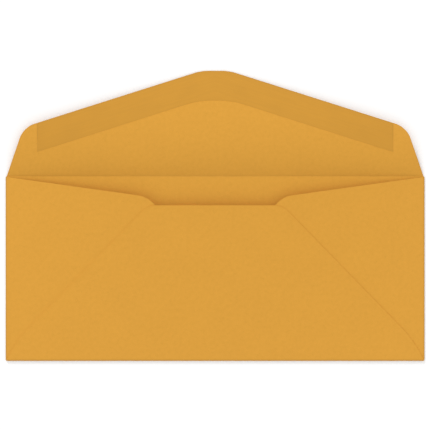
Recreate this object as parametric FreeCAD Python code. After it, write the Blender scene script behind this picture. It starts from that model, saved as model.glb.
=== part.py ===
import FreeCAD, Part
import math
import os

# A commercial envelope with diagonal seams, folded from one kraft sheet. It lies face down, its flap open.
# +X runs along the long side, +Y from the bottom fold towards the flap's tip, +Z up from the table.
# While the pieces are made, Y is measured from the bottom fold. The last step centres the part on its origin.
# Lengths are in millimetres and angles in degrees.

# Sheet
PAPER = 0.15                 # caliper of the kraft paper
WIDTH = 241.3                # over both side bends
HEIGHT = 106.4               # bottom bend to top crease
FOLD_GAP = 0.10              # air between the front panel and a side flap, at its fold
SEAM_GAP = 0.10              # seam gum between a side flap and the bottom flap
CORNER_NOTCH = 0.5           # cut out of the sheet where a side fold meets the bottom fold
CREASE_NOTCH = 0.4           # end of a side fold below the top crease
BACK_RISE = 7.0              # how far the back bows up, measured at the middle of the top crease

# Bottom flap, outside the two side flaps
THROAT_DEPTH = 16.8          # top crease to the lip
LIP_WIDTH = 77.6             # between the lip's corners before they are rounded
LIP_RADIUS = 9.7
FOOT_INSET = 0.35            # bottom flap's end at the bottom fold, in from the side
FLARE_INSET = 4.95           # bend in the seam near the bottom corner, in from the side
FLARE_HEIGHT = 10.7          # the same bend above the bottom fold
FLARE_RADIUS = 60.0

# Side flaps
SIDE_CORNER_IN = 0.45        # upper corner of a side flap, in from the lip's corner
SIDE_CORNER_ABOVE = 4.9      # the same corner above the lip
SIDE_CORNER_RADIUS = 13.5
SIDE_END_ANGLE = 52.0        # slope of the end edge that runs under the bottom flap
SIDE_TIP_RADIUS = 6.0
SEAM_OVERLAP = 15.0          # side flap hidden under the bottom flap, square to the seam
BOND_MARGIN = 3.0            # seam to its gum line
BOND_WIDTH = 8.0             # gum line, square to the seam
BOND_END = 12.0              # gum line's ends, in from the ends of the seam

# Top flap
FLAP_DEPTH = 60.7            # top crease to the tip, seen from above
FLAP_INSET = 0.6             # flap's end at the crease, in from the side
SHOULDER_INSET = 10.45       # shoulder, in from the side
SHOULDER_HEIGHT = 28.1       # shoulder above the crease
SHOULDER_RADIUS = 12.5
TIP_WIDTH = 16.0             # straight end of the tip before its corners are rounded
TIP_RADIUS = 24.5
CREASE_RADIUS = 0.6          # inside the fold
CREASE_RISE = 18.0           # flap's slope as it springs up from the crease
TIP_CLEARANCE = 0.1          # air between the table and the flap's tip
FLAP_ARCS = 16               # tangent arcs that make up the flap's curve

# Gum on the top flap
GUM_FILM = 0.05              # thickness of the dried gum
GUM_WIDTH = 15.9             # square to the flap's slanted edges
GUM_END_INSET = 18.15        # cut ends, in from the side
GUM_PEAK_RADIUS = 52.0       # inner edge where the two bands meet

# Sizes that follow from those above
HALF_WIDTH = WIDTH / 2
SIDE_LEVEL = PAPER + FOLD_GAP
BOTTOM_LEVEL = SIDE_LEVEL + PAPER + SEAM_GAP
SIDE_BEND = (SIDE_LEVEL + PAPER) / 2
BOTTOM_BEND = (BOTTOM_LEVEL + PAPER) / 2
PANEL_EDGE = HALF_WIDTH - SIDE_BEND
SIDE_TOP = HEIGHT - CREASE_NOTCH
LIP_Y = HEIGHT - THROAT_DEPTH
TIP_Y = HEIGHT + FLAP_DEPTH
FOOT_X = HALF_WIDTH - FOOT_INSET
BEYOND = BACK_RISE + FLAP_DEPTH      # far enough to clear any piece


def vector(x, y, z=0.0):
    return FreeCAD.Vector(x, y, z)


def unit(start, end):
    """Direction from one plan point to another."""
    return (vector(*end) - vector(*start)).normalize()


def line_crossing(point, direction, other_point, other_direction):
    """Plan point where two lines cross, each given by a point and a direction."""
    apart = vector(*other_point) - vector(*point)
    across = direction.x * other_direction.y - direction.y * other_direction.x
    along = (apart.x * other_direction.y - apart.y * other_direction.x) / across
    crossing = vector(*point) + direction * along
    return crossing.x, crossing.y


def rounded_corner(before, corner, after, radius):
    """Start, middle and end of the arc that rounds a corner."""
    back = (before - corner).normalize()
    ahead = (after - corner).normalize()
    half_angle = back.getAngle(ahead) / 2
    inward = (back + ahead).normalize()
    reach = radius / math.tan(half_angle)
    middle = corner + inward * (radius / math.sin(half_angle) - radius)
    return corner + back * reach, middle, corner + ahead * reach


def outline(corners):
    """Closed plan outline through corners given as (x, y) or (x, y, radius)."""
    points = [vector(c[0], c[1]) for c in corners]
    radii = [c[2] if len(c) > 2 else 0.0 for c in corners]
    edges = []
    joints = []
    for i, point in enumerate(points):
        if radii[i] > 0:
            arc = rounded_corner(points[i - 1], point, points[(i + 1) % len(points)], radii[i])
            edges.append(Part.Arc(*arc).toShape())
            joints.append((arc[0], arc[2]))
        else:
            joints.append((point, point))
    for i, joint in enumerate(joints):
        edges.append(Part.LineSegment(joints[i - 1][1], joint[0]).toShape())
    return Part.Wire(Part.__sortEdges__(edges))


def prism(corners):
    """Upright block over a plan outline, tall enough to cut any piece."""
    block = Part.Face(outline(corners)).extrude(vector(0, 0, 2 * BEYOND))
    block.translate(vector(0, 0, -BEYOND))
    return block


def both_halves(right_half):
    """Corners of a symmetric outline from those of its right half."""
    return right_half + [(-c[0],) + tuple(c[1:]) for c in reversed(right_half)]


def both_sides(shape):
    return [shape, shape.mirror(vector(0, 0), vector(1, 0))]


def advance(state, length, turn):
    """Move along an arc or a straight stretch. The state is (y, z, heading), with angles in radians."""
    y, z, heading = state
    if turn == 0:
        return y + length * math.cos(heading), z + length * math.sin(heading), heading
    radius = length / turn
    later = heading + turn
    return (y + radius * (math.sin(later) - math.sin(heading)),
            z + radius * (math.cos(heading) - math.cos(later)), later)


def beside(state, offset):
    """Point at a distance to the left of a state."""
    y, z, heading = state
    return vector(0, y - offset * math.sin(heading), z + offset * math.cos(heading))


def rail(start, spans, offset):
    """Edges at an offset to the left of a path made of (length, turn) spans."""
    edges = []
    state = start
    for length, turn in spans:
        middle = advance(state, length / 2, turn / 2)
        end = advance(state, length, turn)
        points = [beside(s, offset) for s in (state, middle, end)]
        curve = Part.Arc(*points) if turn else Part.LineSegment(points[0], points[2])
        edges.append(curve.toShape())
        state = end
    return edges, state


def rolled_sheet(start, spans, near, far, x_low, x_high):
    """Sheet between two offsets of a path in the YZ plane, extruded along X."""
    near_edges, end = rail(start, spans, near)
    far_edges, end = rail(start, spans, far)
    ends = [Part.LineSegment(beside(s, near), beside(s, far)).toShape() for s in (start, end)]
    wire = Part.Wire(Part.__sortEdges__(near_edges + far_edges + ends))
    sheet = Part.Face(wire).extrude(vector(x_high - x_low, 0))
    sheet.translate(vector(x_low, 0))
    return sheet


def half_ring(radius):
    """Start and span of a fold that turns the sheet right over, with its outermost line at Y 0."""
    return (radius, 2 * radius, math.pi), (math.pi * radius, math.pi)


def flap_spans(crease_end):
    """Curve of a strip sprung from its crease and resting on its tip: its bend fades evenly to nothing."""
    y, z = crease_end[:2]
    rise = math.radians(CREASE_RISE)
    run = TIP_Y - y
    length = run * (1 + rise * rise / 10)
    whole_turn = 1.5 * (rise + (z - TIP_CLEARANCE) / run)
    shares = [i / FLAP_ARCS for i in range(FLAP_ARCS + 1)]
    turned = [whole_turn * share * (2 - share) for share in shares]
    arcs = [(length / FLAP_ARCS, before - after) for before, after in zip(turned, turned[1:])]
    return arcs + [(BEYOND, 0)]


def path_to_flap():
    """Start of the folded path and its spans: the bottom bend, the front panel and the top crease."""
    start, bend = half_ring(BOTTOM_BEND)
    rise = math.radians(CREASE_RISE)
    radius = CREASE_RADIUS + PAPER
    panel = HEIGHT - BOTTOM_BEND - radius * math.tan(rise / 2)
    return start, [bend, (panel, 0), (radius * rise, rise)]


def flap_corners():
    """Right half of the top flap's outline, from the crease to the tip."""
    return [(HALF_WIDTH - FLAP_INSET, HEIGHT),
            (HALF_WIDTH - SHOULDER_INSET, HEIGHT + SHOULDER_HEIGHT, SHOULDER_RADIUS),
            (TIP_WIDTH / 2, TIP_Y, TIP_RADIUS)]


def panel_and_top_flap():
    """Bottom bend, front panel, crease and top flap: one curved sheet cut to its outline."""
    start, spans = path_to_flap()
    crease_end = rail(start, spans, 0)[1]
    sheet = rolled_sheet(start, spans + flap_spans(crease_end), 0, PAPER, -HALF_WIDTH, HALF_WIDTH)
    body = [(FOOT_X, -CORNER_NOTCH), (FOOT_X, CORNER_NOTCH),
            (PANEL_EDGE, CORNER_NOTCH), (PANEL_EDGE, SIDE_TOP)]
    return sheet.common(prism(both_halves(body + flap_corners())))


def back_layer(level, thickness):
    """Full layer of the bowed back: flat along the bottom fold, arched along the top crease."""
    rows = []
    for side in (-1, 0, 1):
        x = PANEL_EDGE * side
        pole_rise = 0.0 if side else 2 * BACK_RISE
        rows.append([vector(x, BOTTOM_BEND, level), vector(x, HEIGHT, level + pole_rise)])
    surface = Part.BSplineSurface()
    surface.buildFromPolesMultsKnots(rows, [3, 3], [2, 2], [0, 1], [0, 1], False, False, 2, 1)
    return surface.toShape().extrude(vector(0, 0, thickness))


def lip_corner():
    return LIP_WIDTH / 2, LIP_Y


def flare_corner():
    return HALF_WIDTH - FLARE_INSET, FLARE_HEIGHT


def seam_point(along, inward):
    """Plan point at a distance down the right seam from the lip's corner, and square to it, inward."""
    run = unit(lip_corner(), flare_corner())
    point = vector(*lip_corner()) + run * along + vector(run.y, -run.x) * inward
    return point.x, point.y


def bottom_flap():
    corners = [(FOOT_X, -CORNER_NOTCH), (FOOT_X, BOTTOM_BEND), flare_corner() + (FLARE_RADIUS,),
               lip_corner() + (LIP_RADIUS,)]
    return back_layer(BOTTOM_LEVEL, PAPER).common(prism(both_halves(corners)))


def side_flap():
    """Right side flap, with its fold at the panel's edge and its tip hidden under the bottom flap."""
    seam_run = unit(lip_corner(), flare_corner())
    hidden = seam_point(0, SEAM_OVERLAP)
    upper = (LIP_WIDTH / 2 - SIDE_CORNER_IN, LIP_Y + SIDE_CORNER_ABOVE)
    slope = math.radians(SIDE_END_ANGLE)
    tip = line_crossing(upper, vector(-math.cos(slope), -math.sin(slope)), hidden, seam_run)
    foot = line_crossing(hidden, seam_run, (0, CORNER_NOTCH), vector(1, 0))
    top_run = unit(upper, (PANEL_EDGE, SIDE_TOP))
    beyond = line_crossing(upper, top_run, (HALF_WIDTH, 0), vector(0, 1))
    corners = [(HALF_WIDTH, CORNER_NOTCH), beyond, upper + (SIDE_CORNER_RADIUS,),
               tip + (SIDE_TIP_RADIUS,), foot]
    return back_layer(SIDE_LEVEL, PAPER).common(prism(corners))


def side_bend():
    """Half ring of paper along the right side fold."""
    start, span = half_ring(SIDE_BEND)
    bend = rolled_sheet(start, [span], 0, PAPER, CORNER_NOTCH, SIDE_TOP)
    bend.rotate(vector(0, 0), vector(0, 0, 1), 90)
    bend.translate(vector(HALF_WIDTH, 0))
    return bend


def seam_bond():
    """Gum line that holds the right side flap to the bottom flap, let into half of each ply."""
    length = (vector(*flare_corner()) - vector(*lip_corner())).Length
    ends = (BOND_END, length - BOND_END)
    sides = (BOND_MARGIN, BOND_MARGIN + BOND_WIDTH)
    corners = [seam_point(ends[0], sides[0]), seam_point(ends[1], sides[0]),
               seam_point(ends[1], sides[1]), seam_point(ends[0], sides[1])]
    return back_layer(SIDE_LEVEL + PAPER / 2, PAPER + SEAM_GAP).common(prism(corners))


def envelope_sheet():
    """The folded sheet as one solid, with its plies joined where the seams are gummed."""
    pieces = [bottom_flap()] + both_sides(side_bend()) + both_sides(side_flap()) + both_sides(seam_bond())
    return panel_and_top_flap().fuse(pieces).removeSplitter()


def flap_gum():
    """Dried gum along the flap's slanted edges, on the face that turns inward when it is sealed."""
    crease_end = rail(*path_to_flap(), 0)[1]
    film = rolled_sheet(crease_end, flap_spans(crease_end), PAPER, PAPER + GUM_FILM, -HALF_WIDTH, HALF_WIDTH)
    crease_end, shoulder, tip = flap_corners()
    edge_run = unit(tip[:2], shoulder[:2])
    inner = vector(*shoulder[:2]) + vector(edge_run.y, -edge_run.x) * GUM_WIDTH
    inner_peak = line_crossing((inner.x, inner.y), edge_run, (0, 0), vector(0, 1))
    end_x = HALF_WIDTH - GUM_END_INSET
    inner_end = line_crossing((inner.x, inner.y), edge_run, (end_x, 0), vector(0, 1))
    band = both_halves([inner_end, (end_x, TIP_Y + BEYOND)]) + [inner_peak + (GUM_PEAK_RADIUS,)]
    edge = both_halves([crease_end, shoulder, tip])
    return film.common(prism(edge)).common(prism(band))


def export(name, shape):
    """Writes a piece in the part's own frame, and prints what it is."""
    shape.translate(vector(0, -TIP_Y / 2))
    shape.exportStep(os.path.join("parts", name + ".step"))
    state = "valid" if shape.isValid() else "NOT VALID"
    print(name, state, len(shape.Solids), "solid, volume", round(shape.Volume, 3))


os.makedirs("parts", exist_ok=True)
export("envelope_sheet", envelope_sheet())
export("flap_gum", flap_gum())
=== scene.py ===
import math

import bmesh
import bpy
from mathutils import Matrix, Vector


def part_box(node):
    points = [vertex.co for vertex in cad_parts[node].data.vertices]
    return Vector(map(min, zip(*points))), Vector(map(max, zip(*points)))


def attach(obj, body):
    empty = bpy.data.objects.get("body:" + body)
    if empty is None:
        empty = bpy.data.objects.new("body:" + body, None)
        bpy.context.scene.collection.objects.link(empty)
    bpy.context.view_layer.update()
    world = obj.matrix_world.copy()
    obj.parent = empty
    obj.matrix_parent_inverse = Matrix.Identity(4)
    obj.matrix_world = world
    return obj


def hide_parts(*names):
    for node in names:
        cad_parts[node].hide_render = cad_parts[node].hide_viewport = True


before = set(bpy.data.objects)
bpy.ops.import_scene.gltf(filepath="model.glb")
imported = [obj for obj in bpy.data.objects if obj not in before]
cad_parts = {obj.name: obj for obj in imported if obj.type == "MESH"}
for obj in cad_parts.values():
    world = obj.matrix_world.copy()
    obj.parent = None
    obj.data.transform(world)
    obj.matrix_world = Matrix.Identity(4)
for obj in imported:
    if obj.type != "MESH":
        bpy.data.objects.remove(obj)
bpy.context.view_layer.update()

# A commercial envelope folded from one sheet of brown paper, lying face down with its flap open.
# +X runs along the long side, +Y towards the flap's tip and +Z up from the table.
# Lengths are in metres, and constants that are angles are in degrees.
MM = 0.001
SHEET_LOW, SHEET_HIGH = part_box("envelope_sheet")

# Sheet
PAPER = 0.15 * MM
FOLD_GAP = 0.10 * MM
SEAM_GAP = 0.10 * MM
CORNER_NOTCH = 0.5 * MM
CREASE_NOTCH = 0.4 * MM
BACK_RISE = 7.0 * MM

# Bottom flap
THROAT_DEPTH = 16.8 * MM
LIP_WIDTH = 77.6 * MM
LIP_RADIUS = 9.7 * MM
FOOT_INSET = 0.35 * MM
FLARE_INSET = 4.95 * MM
FLARE_HEIGHT = 10.7 * MM
FLARE_RADIUS = 60.0 * MM

# Side flaps
SIDE_CORNER_IN = 0.45 * MM
SIDE_CORNER_ABOVE = 4.9 * MM
SIDE_CORNER_RADIUS = 13.5 * MM
SIDE_END_ANGLE = 52.0
SIDE_TIP_RADIUS = 6.0 * MM
SEAM_OVERLAP = 15.0 * MM

# Top flap
FLAP_DEPTH = 60.7 * MM
FLAP_INSET = 0.6 * MM
SHOULDER_INSET = 10.45 * MM
SHOULDER_HEIGHT = 28.1 * MM
SHOULDER_RADIUS = 12.5 * MM
TIP_WIDTH = 16.0 * MM
TIP_RADIUS = 24.5 * MM
CREASE_RISE = 18.0
TIP_CLEARANCE = 0.1 * MM

# Gum on the top flap
GUM_FILM = 0.05 * MM
GUM_WIDTH = 15.9 * MM
GUM_END_INSET = 18.15 * MM
GUM_PEAK_RADIUS = 52.0 * MM

# Mesh
GRID = 2.5 * MM                         # size of a cell
RINGS = (0.3 * MM, 0.7 * MM, 1.3 * MM)  # finer rows along outlines and folds, from the edge in
BEND_STEPS = 10
CORNER_STEPS = 12
CRISP_ANGLE = 50.0
HAIR = 0.001 * MM                       # how near to a plane a vertex lies on it
MEET = 0.01 * MM                        # how near the vertices of two plies are one
WELD = 0.04 * MM                        # how narrow a cell is closed up
TRIM = 8.0 * MM                         # how far the bottom flap starts out past its fold

# What folding and handling leave behind, and painted shade along folds and edges
RIPPLE = 0.10 * MM
# Length, heading, and phase in radians of each wave
WAVES = ((62 * MM, 20, 0.4), (47 * MM, 105, 2.1), (38 * MM, 155, 4.4), (29 * MM, 65, 5.3))
SEAM_LIFT = 0.06 * MM
SEAM_ENDS = 3.0 * MM
# Shares of the painted shade along the folds, the crease and the flap's cut edges, which also lower
# the paper's roughness there
FOLD_SHADE_AND_WEAR = 1.0
CREASE_SHADE_AND_WEAR = 0.12
EDGE_SHADE_AND_WEAR = 0.40
INNER_BEAD = 0.25

# Sizes that follow from those above, and from the frame
HALF_WIDTH = (SHEET_HIGH.x - SHEET_LOW.x) / 2
BOTTOM_Y = SHEET_LOW.y
TIP_Y = SHEET_HIGH.y
CREASE_Y = TIP_Y - FLAP_DEPTH
SIDE_LEVEL = PAPER + FOLD_GAP
BOTTOM_LEVEL = SIDE_LEVEL + PAPER + SEAM_GAP
SIDE_BEND = (SIDE_LEVEL + PAPER) / 2
BOTTOM_BEND = (BOTTOM_LEVEL + PAPER) / 2
PANEL_EDGE = HALF_WIDTH - SIDE_BEND
PANEL_FOOT = BOTTOM_Y + BOTTOM_BEND
SIDE_TOP = CREASE_Y - CREASE_NOTCH
SIDE_FOOT = BOTTOM_Y + CORNER_NOTCH
LIP_Y = CREASE_Y - THROAT_DEPTH
FOOT_X = HALF_WIDTH - FOOT_INSET

# Directions
ALONG_X = Vector((1, 0))
ALONG_Y = Vector((0, 1))
UP = Vector((0, 0, 1))


# Corners of the plies, seen from above: (x, y), or (x, y, radius) where the corner is rounded

def line_crossing(point, direction, other_point, other_direction):
    apart = Vector(other_point) - Vector(point)
    across = direction.x * other_direction.y - direction.y * other_direction.x
    along = (apart.x * other_direction.y - apart.y * other_direction.x) / across
    return tuple(Vector(point) + direction * along)


def unit(start, end):
    return (Vector(end) - Vector(start)).normalized()


def right_of(direction):
    return Vector((direction.y, -direction.x))


def mirrored(corners):
    """The same corners on the other side of the middle, in the same turning order."""
    return [(-c[0],) + tuple(c[1:]) for c in reversed(corners)]


def both_halves(right_half):
    """Corners of a symmetric outline from those of its right half."""
    return right_half + mirrored(right_half)


def flap_corners():
    """Right half of the top flap: its crease's end, its shoulder and its tip."""
    return [(HALF_WIDTH - FLAP_INSET, CREASE_Y),
            (HALF_WIDTH - SHOULDER_INSET, CREASE_Y + SHOULDER_HEIGHT, SHOULDER_RADIUS),
            (TIP_WIDTH / 2, TIP_Y, TIP_RADIUS)]


def flap_slant():
    """The flap's right shoulder and tip, and the direction from the tip to the shoulder."""
    shoulder, tip = (Vector(corner[:2]) for corner in flap_corners()[1:])
    return shoulder, tip, unit(tip, shoulder)


def panel_corners():
    return both_halves([(FOOT_X, PANEL_FOOT), (FOOT_X, SIDE_FOOT), (PANEL_EDGE, SIDE_FOOT),
                        (PANEL_EDGE, SIDE_TOP), flap_corners()[0]])


def lip_corner():
    return LIP_WIDTH / 2, LIP_Y


def flare_corner():
    return HALF_WIDTH - FLARE_INSET, BOTTOM_Y + FLARE_HEIGHT


def flare_run():
    return unit((FOOT_X, PANEL_FOOT), flare_corner())


def bottom_corners():
    """The bottom flap, which runs on past its fold: it is trimmed there once it has its rings."""
    start = Vector((FOOT_X, PANEL_FOOT)) - flare_run() * TRIM
    return both_halves([tuple(start), flare_corner() + (FLARE_RADIUS,),
                        lip_corner() + (LIP_RADIUS,)])


def side_corners():
    """Right side flap: its fold, its upper edge, its end, which dips under the bottom flap, and its
    hidden edge."""
    seam_run = unit(lip_corner(), flare_corner())
    hidden = Vector(lip_corner()) + right_of(seam_run) * SEAM_OVERLAP
    upper = (LIP_WIDTH / 2 - SIDE_CORNER_IN, LIP_Y + SIDE_CORNER_ABOVE)
    slope = math.radians(SIDE_END_ANGLE)
    end_run = Vector((-math.cos(slope), -math.sin(slope)))
    tip = line_crossing(upper, end_run, hidden, seam_run)
    foot = line_crossing(hidden, seam_run, (0, SIDE_FOOT), ALONG_X)
    return [(PANEL_EDGE, SIDE_FOOT), (PANEL_EDGE, SIDE_TOP), upper + (SIDE_CORNER_RADIUS,),
            tip + (SIDE_TIP_RADIUS,), foot]


def gum_corners():
    """Two bands along the flap's slanted edges, cut square at their ends and joined at the tip."""
    shoulder, tip, edge_run = flap_slant()
    inner = shoulder + right_of(edge_run) * GUM_WIDTH
    end = (HALF_WIDTH - GUM_END_INSET, 0)
    inner_end = line_crossing(inner, edge_run, end, ALONG_Y)
    inner_peak = line_crossing(inner, edge_run, (0, 0), ALONG_Y)
    outer_end = line_crossing(shoulder, edge_run, end, ALONG_Y)
    band = [inner_end, outer_end, flap_corners()[-1]]
    return both_halves(band) + [inner_peak + (GUM_PEAK_RADIUS,)]


# Shares, from 0 to 1

def fading(distance):
    """1 on a fold or an edge, falling to nothing at the last ring."""
    return (1 - min(distance / RINGS[-1], 1.0)) ** 2


def on_seam(y):
    """1 along the seams, and 0 at the bottom fold and at the lip."""
    return max(0.0, min(1.0, (y - PANEL_FOOT) / SEAM_ENDS, (LIP_Y - y) / SEAM_ENDS))


# Heights of the plies at a place, where inset is its distance from the outline up to the last ring

def bow(x, y):
    """How far the back has bowed up: nothing along the folds, most at the middle of its top."""
    return BACK_RISE * (1 - (x / PANEL_EDGE) ** 2) * (y - PANEL_FOOT) / (CREASE_Y - PANEL_FOOT)


def ripple(x, y):
    """Slight waves in the sheet."""
    total = 0.0
    for length, heading, phase in WAVES:
        turn = math.radians(heading)
        total += math.cos(math.tau * (x * math.cos(turn) + y * math.sin(turn)) / length + phase)
    return RIPPLE * total / len(WAVES)


def back_height(x, y):
    """The rippled bow, whose ripple dies out where the bow does."""
    return bow(x, y) * (1 + ripple(x, y) / BACK_RISE)


def panel_height(x, y, inset):
    return 0.0


def side_height(x, y, inset):
    return SIDE_LEVEL + PAPER + back_height(x, y)


def bottom_height(x, y, inset):
    """The bottom flap's outer face, whose free edge stands a little proud along the right seam."""
    lift = SEAM_LIFT if x > 0 else 0.0
    return BOTTOM_LEVEL + PAPER + back_height(x, y) + lift * fading(inset) * on_seam(y)


def flap_height(x, y, inset):
    """The top flap's underside: a strip sprung from its crease, which rests on its tip."""
    share = min(max(y - CREASE_Y, 0.0) / FLAP_DEPTH, 1.0)
    rise = math.radians(CREASE_RISE) * FLAP_DEPTH
    droop = (rise - TIP_CLEARANCE) * share * share * (3 - share) / 2
    return rise * share - droop + ripple(x, y) * math.sin(math.pi * share)


# Places on the blank, as it lay before it was folded

def unfolded(x, y):
    """The front panel and the top flap keep their place."""
    return x, y, 0.0


def side_unfolded(x, y):
    reach = 2 * PANEL_EDGE + math.pi * SIDE_BEND - abs(x)
    return math.copysign(reach, x), y, 0.0


def bottom_unfolded(x, y):
    return x, 2 * PANEL_FOOT - math.pi * BOTTOM_BEND - y, 0.0


# Painted shade of the plies along their folds, crease and cut edges, which also smooths the paper
# there, from 0 to 1

def panel_shade_and_wear(x, y, inset):
    folds = min(PANEL_EDGE - abs(x), y - PANEL_FOOT)
    return max(FOLD_SHADE_AND_WEAR * fading(folds), CREASE_SHADE_AND_WEAR * fading(CREASE_Y - y))


def side_shade_and_wear(x, y, inset):
    return FOLD_SHADE_AND_WEAR * fading(PANEL_EDGE - abs(x))


def bottom_shade_and_wear(x, y, inset):
    return FOLD_SHADE_AND_WEAR * fading(y - PANEL_FOOT)


def flap_shade_and_wear(x, y, inset):
    return max(CREASE_SHADE_AND_WEAR * fading(y - CREASE_Y), EDGE_SHADE_AND_WEAR * fading(inset))


def gum_bead_and_shade(x, y, inset):
    """The film's darker bead, light along the film's other edges, and heavy along the flap's own
    edge, where it adds painted shade.
    """
    tip, edge_run = flap_slant()[1:]
    depth = (Vector((abs(x), y)) - tip).dot(right_of(edge_run))
    by_flap_edge = min(depth, TIP_Y - y) < GUM_WIDTH / 2
    return fading(inset) * (1.0 if by_flap_edge else INNER_BEAD)


# Sheets

def polygon(corners):
    """Flat face through the corners, with an arc at each rounded one."""
    bm = bmesh.new()
    verts = [bm.verts.new((c[0], c[1], 0)) for c in corners]
    bm.faces.new(verts)
    reaches = []
    for i, corner in enumerate(corners):
        if len(corner) > 2:
            back = verts[i - 1].co - verts[i].co
            ahead = verts[(i + 1) % len(verts)].co - verts[i].co
            reaches.append((verts[i], corner[2] / math.tan(back.angle(ahead) / 2)))
    for vert, reach in reaches:
        bmesh.ops.bevel(bm, geom=[vert], offset=reach, segments=CORNER_STEPS, profile=0.5,
                        affect="VERTICES", material=-1, clamp_overlap=False)
    return bm


def add_rings(bm, inset):
    """Rings just inside the outline, whose vertices keep their distance from it."""
    bm.faces.ensure_lookup_table()
    face = bm.faces[0]
    for outer, ring in zip((0.0,) + RINGS, RINGS):
        bm.normal_update()
        bmesh.ops.inset_individual(bm, faces=[face], thickness=ring - outer, use_even_offset=True)
        for vert in face.verts:
            vert[inset] = ring


def cut(bm, places, axis, **options):
    """Cuts every face along planes square to an axis."""
    normal = Vector((axis == "x", axis == "y", 0))
    for place in places:
        bmesh.ops.bisect_plane(bm, geom=bm.verts[:] + bm.edges[:] + bm.faces[:], dist=HAIR,
                               plane_co=normal * place, plane_no=normal, **options)


def steps(low, high):
    """Even steps of about the grid's size."""
    count = max(1, round((high - low) / GRID))
    return [low + (high - low) * i / count for i in range(count + 1)]


def cut_cells(bm):
    """Cuts a ply into cells, whose lines are the same in all plies, and trims it at the bottom."""
    cut(bm, steps(-PANEL_EDGE, PANEL_EDGE), "x")
    for ring in RINGS:
        for place in (PANEL_EDGE - ring, FOOT_X - ring / flare_run().y):
            cut(bm, (-place, place), "x")
    cut(bm, steps(SIDE_FOOT, SIDE_TOP) + steps(CREASE_Y, TIP_Y), "y")
    for ring in RINGS:
        cut(bm, (PANEL_FOOT + ring, CREASE_Y - ring, CREASE_Y + ring), "y")
    cut(bm, [PANEL_FOOT], "y", clear_inner=True)


def ply(corners, height, edge_shade_and_wear, unfold, ringed):
    """One layer of the sheet, in cells, lifted to its height."""
    bm = polygon(corners)
    inset = bm.verts.layers.float.new("inset")
    edge_shade_layer = bm.verts.layers.float.new("edge_shade_and_wear")
    blank = bm.verts.layers.float_vector.new("blank")
    if ringed:
        add_rings(bm, inset)
    else:
        for vert in bm.verts:
            vert[inset] = RINGS[-1]
    cut_cells(bm)
    for vert in bm.verts:
        x, y = vert.co.xy
        vert.co.z = height(x, y, vert[inset])
        vert[edge_shade_layer] = edge_shade_and_wear(x, y, vert[inset])
        vert[blank] = unfold(x, y)
    return bm


def join(target, source):
    """Adds one bmesh to another."""
    mesh = bpy.data.meshes.new("ply")
    source.to_mesh(mesh)
    source.free()
    target.from_mesh(mesh)
    bpy.data.meshes.remove(mesh)


def roll_fold(bm, chosen, centre, outward):
    """Turns the sheet right over along chosen edges, in a half ring that stands out to one side."""
    edges = [e for e in bm.edges if e.is_boundary and all(chosen(v.co) for v in e.verts)]
    verts = list(dict.fromkeys(v for e in edges for v in e.verts))
    before = set(bm.verts)
    bmesh.ops.spin(bm, geom=edges + verts, cent=centre, axis=outward.cross(UP),
                   angle=math.pi, steps=BEND_STEPS)
    blank = bm.verts.layers.float_vector["blank"]
    for vert in bm.verts:
        if vert not in before:
            reach = vert.co - centre
            turn = math.atan2(reach.dot(outward), -reach.z)
            vert[blank] = vert[blank] + outward * centre.z * turn


def on_side_fold(place, sign):
    on_edge = abs(place.x - sign * PANEL_EDGE) < HAIR and abs(place.z) < HAIR
    return on_edge and place.y < CREASE_Y - HAIR


def on_bottom_fold(place):
    return abs(place.y - PANEL_FOOT) < HAIR and abs(place.z) < HAIR


def folded_sheet():
    """The sheet's outer skin, in one piece from the top flap's tip to the bottom flap's lip."""
    bm = ply(panel_corners(), panel_height, panel_shade_and_wear, unfolded, ringed=False)
    join(bm, ply(both_halves(flap_corners()), flap_height, flap_shade_and_wear, unfolded, ringed=True))
    join(bm, ply(bottom_corners(), bottom_height, bottom_shade_and_wear, bottom_unfolded, ringed=True))
    for corners in (side_corners(), mirrored(side_corners())):
        join(bm, ply(corners, side_height, side_shade_and_wear, side_unfolded, ringed=False))
    bmesh.ops.remove_doubles(bm, verts=bm.verts, dist=MEET)
    for sign in (1, -1):
        roll_fold(bm, lambda place: on_side_fold(place, sign),
                  Vector((sign * PANEL_EDGE, 0, SIDE_BEND)), Vector((sign, 0, 0)))
    roll_fold(bm, on_bottom_fold, Vector((0, PANEL_FOOT, BOTTOM_BEND)), Vector((0, -1, 0)))
    return bm


def gum_skin():
    """The gum film's outer skin, just above the top flap's inner face."""
    bm = ply(gum_corners(), flap_height, gum_bead_and_shade, unfolded, ringed=True)
    bmesh.ops.translate(bm, verts=bm.verts, vec=(0, 0, PAPER + GUM_FILM))
    return bm


def put_in_order(bm):
    """Numbers the vertices and faces by their place, so that each run gives the same mesh."""
    for items, place in ((bm.verts, lambda vert: tuple(vert.co)),
                         (bm.faces, lambda face: tuple(face.calc_center_median()))):
        for index, item in enumerate(sorted(items, key=place)):
            item.index = index
        items.sort()


def thicken(bm, thickness):
    """Gives a skin its thickness towards its back, and keeps its rims crisp."""
    bmesh.ops.remove_doubles(bm, verts=bm.verts, dist=WELD)
    bmesh.ops.recalc_face_normals(bm, faces=bm.faces)
    bmesh.ops.solidify(bm, geom=bm.faces[:], thickness=thickness)
    bmesh.ops.recalc_face_normals(bm, faces=bm.faces)
    put_in_order(bm)
    for face in bm.faces:
        face.smooth = True
    for edge in bm.edges:
        edge.smooth = edge.calc_face_angle(0) < math.radians(CRISP_ANGLE)


# Objects

def add_object(name, data):
    thing = bpy.data.objects.new(name, data)
    bpy.context.scene.collection.objects.link(thing)
    return thing


def add_mesh(name, bm, material):
    mesh = bpy.data.meshes.new(name)
    bm.to_mesh(mesh)
    bm.free()
    mesh.materials.append(material)
    return add_object(name, mesh)


def add_piece(name, skin, thickness, node, material):
    """A visible piece of the envelope, in the place of one CAD solid."""
    thicken(skin, thickness)
    skin.verts.layers.float.remove(skin.verts.layers.float["inset"])
    piece = add_mesh(name, skin, material)
    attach(piece, "root")
    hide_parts(node)
    return piece


# Materials

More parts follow.
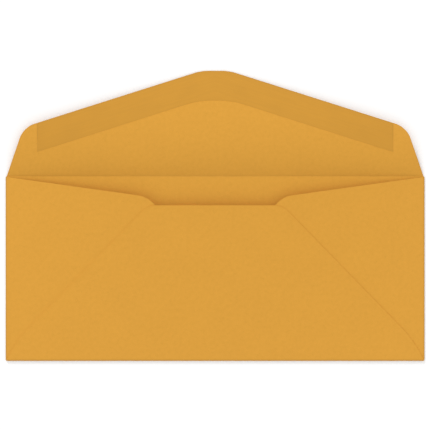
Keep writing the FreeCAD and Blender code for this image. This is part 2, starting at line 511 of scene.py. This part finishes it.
def linear(*channels):
    """Colour on a screen, from 0 to 255, as the light that a shader works in."""
    parts = [c / 255 for c in channels]
    parts = [p / 12.92 if p <= 0.04045 else ((p + 0.055) / 1.055) ** 2.4 for p in parts]
    return tuple(parts) + (1.0,)


def scaled(colour, share):
    return tuple(c * share for c in colour[:3]) + (1.0,)


# Scales are in cells for each metre, and a range is what a noise or a distance is stretched from
PAPER_COLOUR = linear(221, 159, 59)
PAPER_TONES = (0.98, 1.02)
TONE_RANGE = (0.3, 0.7)
CLOUD_SCALE = 55
CLOUD_SHARE = 0.45
MOTTLE_SCALE = 420
GRAIN_SCALE = 2600
GRAIN_RELIEF = 0.6
STRAND_LENGTH = 2.2 * MM
STRAND_SPACING = 0.32 * MM
STRAND_CURL = 0.5
STRAND_RANGE = (0.0, 0.035)
STRAND_SHARE = 0.5
DARK_STRANDS = ((12, 0.0), (64, 0.31))      # heading, and where in the noise they start
DARK_RANGE = (0.46, 0.62)
DARK_TONE = 0.80
PALE_STRANDS = ((-27, 0.77), (118, 0.52))
PALE_RANGE = (0.54, 0.40)
PALE_TONE = 1.16
# Darkness of the painted shade along the folds, the crease and the edges
FOLD_SHADE_TONE = 0.80
FOLD_POLISH = 0.12
PAPER_ROUGHNESS = (0.74, 0.86)
PAPER_SPECULAR = 0.22
PAPER_BUMP = 0.35

GUM_COLOUR = linear(207, 147, 44)
GUM_TONES = (0.965, 1.035)
GUM_CLOUD_SCALE = 90
STREAK_LENGTH = 25 * MM
STREAK_WIDTH = 1.1 * MM
STREAK_SHARE = 0.6
STREAK_RELIEF = 0.8
PINHOLE_SCALE = 700
PINHOLE_RANGE = (0.05, 0.12)
PINHOLE_SHARE = 0.5
# Share and darkness of the gum's bead, which adds painted shade along the flap's edge
BEAD_AND_SHADE_SHARE = 0.7
BEAD_AND_SHADE_TONE = 0.85
GUM_ROUGHNESS = (0.36, 0.50)
GUM_SPECULAR = 0.32
GUM_BUMP = 0.3

BUMP_HEIGHT = 0.02 * MM
MIX_COLOUR_SOCKETS = (0, 6, 7)              # a Mix node's share and its two colours
MIX_COLOUR_RESULT = 2


def put(tree, socket, value):
    """Links a socket to the value's own socket, or sets it to a constant."""
    if isinstance(value, bpy.types.NodeSocket):
        tree.links.new(value, socket)
    else:
        socket.default_value = value


def add(tree, kind, options=None, **inputs):
    """Adds a node, sets its options, and fills or links its inputs by name."""
    node = tree.nodes.new("ShaderNode" + kind)
    for name, value in (options or {}).items():
        setattr(node, name, value)
    for name, value in inputs.items():
        put(tree, node.inputs[name.replace("_", " ")], value)
    return node


def calc(tree, operation, *values):
    node = add(tree, "Math", {"operation": operation})
    for socket, value in zip(node.inputs, values):
        put(tree, socket, value)
    return node.outputs["Value"]


def weighted(tree, first, second, share):
    """Sum of two values, with a share for the first and the rest for the second."""
    return calc(tree, "ADD", calc(tree, "MULTIPLY", first, share),
                calc(tree, "MULTIPLY", second, 1 - share))


def spread(tree, value, source, target=(0.0, 1.0)):
    """Stretches a range of a value onto another range."""
    node = add(tree, "MapRange", Value=value, From_Min=source[0], From_Max=source[1],
               To_Min=target[0], To_Max=target[1])
    return node.outputs["Result"]


def blend(tree, share, first, second):
    """Colour between two colours."""
    node = add(tree, "Mix", {"data_type": "RGBA"})
    for index, value in zip(MIX_COLOUR_SOCKETS, (share, first, second)):
        put(tree, node.inputs[index], value)
    return node.outputs[MIX_COLOUR_RESULT]


def noise(tree, place, per_metre, detail=2.0, distortion=0.0):
    node = add(tree, "TexNoise", Vector=place, Scale=per_metre, Detail=detail,
               Distortion=distortion)
    return node.outputs["Fac"]


def stretched(tree, place, heading, along, across, start=0.0):
    """Coordinates whose cells lie along a heading in radians, with their size in metres."""
    node = add(tree, "Mapping", {"vector_type": "TEXTURE"}, Vector=place,
               Location=(start, start, 0), Rotation=(0, 0, heading), Scale=(along, across, along))
    return node.outputs["Vector"]


def fibres(tree, place, strands):
    """Thin curved strands that lie along a few headings, as 1 on a strand and 0 between strands."""
    layers = []
    for heading, start in strands:
        run = stretched(tree, place, math.radians(heading), STRAND_LENGTH, STRAND_SPACING, start)
        field = noise(tree, run, 1.0, detail=0.0, distortion=STRAND_CURL)
        ridge = calc(tree, "ABSOLUTE", calc(tree, "SUBTRACT", field, 0.5))
        layers.append(spread(tree, ridge, STRAND_RANGE, (1.0, 0.0)))
    return calc(tree, "MAXIMUM", *layers)


def sheet_places(tree):
    """The place on the blank, and the painted shade and wear there."""
    place = add(tree, "Attribute", {"attribute_name": "blank"}).outputs["Vector"]
    edge_shade_and_wear = add(tree, "Attribute", {"attribute_name": "edge_shade_and_wear"}).outputs["Fac"]
    return place, edge_shade_and_wear


def finish(name):
    """New material with its Principled shader."""
    material = bpy.data.materials.new(name)
    material.use_nodes = True
    tree = material.node_tree
    return material, tree, tree.nodes["Principled BSDF"]


def brown_kraft():
    """Kraft paper: cloudy formation, short strands of pulp, faint grain, and folds, crease and
    edges with painted shade and a slight polish.
    """
    material, tree, paper = finish("brown_paper")
    place, edge_shade_and_wear = sheet_places(tree)
    cloud = noise(tree, place, CLOUD_SCALE)
    mottle = noise(tree, place, MOTTLE_SCALE, detail=4.0)
    grain = noise(tree, place, GRAIN_SCALE)
    tone = spread(tree, weighted(tree, cloud, mottle, CLOUD_SHARE), TONE_RANGE)
    colour = blend(tree, tone, *(scaled(PAPER_COLOUR, share) for share in PAPER_TONES))
    dark = calc(tree, "MULTIPLY", fibres(tree, place, DARK_STRANDS),
                spread(tree, mottle, DARK_RANGE))
    pale = calc(tree, "MULTIPLY", fibres(tree, place, PALE_STRANDS),
                spread(tree, mottle, PALE_RANGE))
    for strands, strand_tone in ((dark, DARK_TONE), (pale, PALE_TONE)):
        share = calc(tree, "MULTIPLY", strands, STRAND_SHARE)
        colour = blend(tree, share, colour, scaled(PAPER_COLOUR, strand_tone))
    # Painted shade: darker along the folds, the crease and the flap's cut edges
    colour = blend(tree, edge_shade_and_wear, colour, scaled(PAPER_COLOUR, FOLD_SHADE_TONE))
    put(tree, paper.inputs["Base Color"], colour)
    rough = calc(tree, "SUBTRACT", spread(tree, mottle, TONE_RANGE, PAPER_ROUGHNESS),
                 calc(tree, "MULTIPLY", edge_shade_and_wear, FOLD_POLISH))
    put(tree, paper.inputs["Roughness"], rough)
    paper.inputs["Specular IOR Level"].default_value = PAPER_SPECULAR
    relief = calc(tree, "ADD", calc(tree, "MULTIPLY", grain, GRAIN_RELIEF),
                  calc(tree, "ADD", dark, pale))
    bump = add(tree, "Bump", Height=relief, Strength=PAPER_BUMP, Distance=BUMP_HEIGHT)
    put(tree, paper.inputs["Normal"], bump.outputs["Normal"])
    return material


def gum_finish():
    """Dried gum: a satin film with streaks along its band, pinholes, and a darker bead, which adds
    painted shade along the flap's edge.
    """
    material, tree, film = finish("dried_gum")
    place, edge_shade_and_wear = sheet_places(tree)
    parts = add(tree, "SeparateXYZ", Vector=place).outputs
    halves = add(tree, "CombineXYZ", X=calc(tree, "ABSOLUTE", parts["X"]), Y=parts["Y"],
                 Z=parts["Z"])
    edge_run = flap_slant()[2]
    run = stretched(tree, halves.outputs["Vector"], math.atan2(edge_run.y, edge_run.x),
                    STREAK_LENGTH, STREAK_WIDTH)
    streaks = noise(tree, run, 1.0, detail=3.0)
    cloud = noise(tree, place, GUM_CLOUD_SCALE, detail=3.0)
    holes = add(tree, "TexVoronoi", Vector=place, Scale=PINHOLE_SCALE)
    pinholes = spread(tree, holes.outputs["Distance"], PINHOLE_RANGE, (1.0, 0.0))
    tone = weighted(tree, streaks, cloud, STREAK_SHARE)
    colour = blend(tree, spread(tree, tone, TONE_RANGE),
                   *(scaled(GUM_COLOUR, share) for share in GUM_TONES))
    colour = blend(tree, calc(tree, "MULTIPLY", pinholes, PINHOLE_SHARE), colour, PAPER_COLOUR)
    # The bead darkens the film, and adds painted shade along the flap's own edge
    colour = blend(tree, calc(tree, "MULTIPLY", edge_shade_and_wear, BEAD_AND_SHADE_SHARE), colour,
                   scaled(GUM_COLOUR, BEAD_AND_SHADE_TONE))
    put(tree, film.inputs["Base Color"], colour)
    put(tree, film.inputs["Roughness"], spread(tree, tone, TONE_RANGE, GUM_ROUGHNESS))
    film.inputs["Specular IOR Level"].default_value = GUM_SPECULAR
    relief = calc(tree, "SUBTRACT", calc(tree, "MULTIPLY", streaks, STREAK_RELIEF), pinholes)
    bump = add(tree, "Bump", Height=relief, Strength=GUM_BUMP, Distance=BUMP_HEIGHT)
    put(tree, film.inputs["Normal"], bump.outputs["Normal"])
    return material


# Pieces

sheet = add_piece("folded_paper", folded_sheet(), PAPER, "envelope_sheet", brown_kraft())

gum = add_piece("gum_film", gum_skin(), GUM_FILM, "flap_gum", gum_finish())

# Stage, light and camera

WHITE = (1.0, 1.0, 1.0, 1.0)
AMBIENT = 0.85
KEY_SHARE = 0.155                           # the key's part of the light on a level surface
KEY_HEIGHT = 23.0
KEY_HEADING = (-0.42, 0.91)
KEY_SOFTNESS = 16.0
FLOOR_COLOUR = 0.93
FLOOR_GLOW = 0.13
FLOOR_DROP = 0.45 * MM
FLOOR_REACH = 2.0
FRAME_WIDTH = 247.8 * MM
CAMERA_PLACE = (-0.06 * MM, 0.49 * MM, 2.0)
CAMERA_CLIP = 10.0
SENSOR_WIDTH = 36.0


def background_rays(tree):
    """1 for what the camera sees directly, in a mirror or through glass."""
    path = add(tree, "LightPath").outputs
    seen = calc(tree, "MAXIMUM", path["Is Camera Ray"], path["Is Glossy Ray"])
    return calc(tree, "MAXIMUM", seen, path["Is Transmission Ray"])


def floor_finish():
    """White floor that keeps the object's shadow."""
    material = bpy.data.materials.new("floor_white")
    material.use_nodes = True
    tree = material.node_tree
    tree.nodes.clear()
    matt = add(tree, "BsdfDiffuse", Color=scaled(WHITE, FLOOR_COLOUR))
    glow = add(tree, "Emission",
               Strength=calc(tree, "MULTIPLY", background_rays(tree), FLOOR_GLOW))
    total = add(tree, "AddShader")
    tree.links.new(matt.outputs["BSDF"], total.inputs[0])
    tree.links.new(glow.outputs["Emission"], total.inputs[1])
    add(tree, "OutputMaterial", Surface=total.outputs["Shader"])
    return material


def soft_sky():
    """Even light from all round, with a white backdrop."""
    world = bpy.data.worlds.new("soft_sky")
    world.use_nodes = True
    tree = world.node_tree
    tree.nodes.clear()
    strength = spread(tree, background_rays(tree), (0.0, 1.0), (AMBIENT, 1.0))
    sky = add(tree, "Background", Color=WHITE, Strength=strength)
    add(tree, "OutputWorld", Surface=sky.outputs["Background"])
    return world


def add_floor():
    bm = bmesh.new()
    bmesh.ops.create_grid(bm, x_segments=1, y_segments=1, size=FLOOR_REACH)
    floor = add_mesh("floor", bm, floor_finish())
    floor.location.z = -FLOOR_DROP


def add_key():
    """A low soft sun from behind the flap's left half."""
    key = add_object("key", bpy.data.lights.new("key", "SUN"))
    height = math.radians(KEY_HEIGHT)
    key.data.energy = math.pi * KEY_SHARE / math.sin(height)
    key.data.angle = math.radians(KEY_SOFTNESS)
    level = Vector(KEY_HEADING + (0,)).normalized()
    towards = level * math.cos(height) + UP * math.sin(height)
    key.rotation_mode = "QUATERNION"
    key.rotation_quaternion = towards.to_track_quat("Z", "Y")


def add_camera():
    """A long lens straight above, as wide as the photo's frame."""
    camera = add_object("camera", bpy.data.cameras.new("camera"))
    camera.location = CAMERA_PLACE
    camera.data.sensor_width = SENSOR_WIDTH
    camera.data.lens = SENSOR_WIDTH * CAMERA_PLACE[2] / FRAME_WIDTH
    camera.data.clip_end = CAMERA_CLIP
    return camera


add_floor()
add_key()
scene = bpy.context.scene
scene.view_settings.view_transform = "Standard"
scene.world = soft_sky()
scene.camera = add_camera()
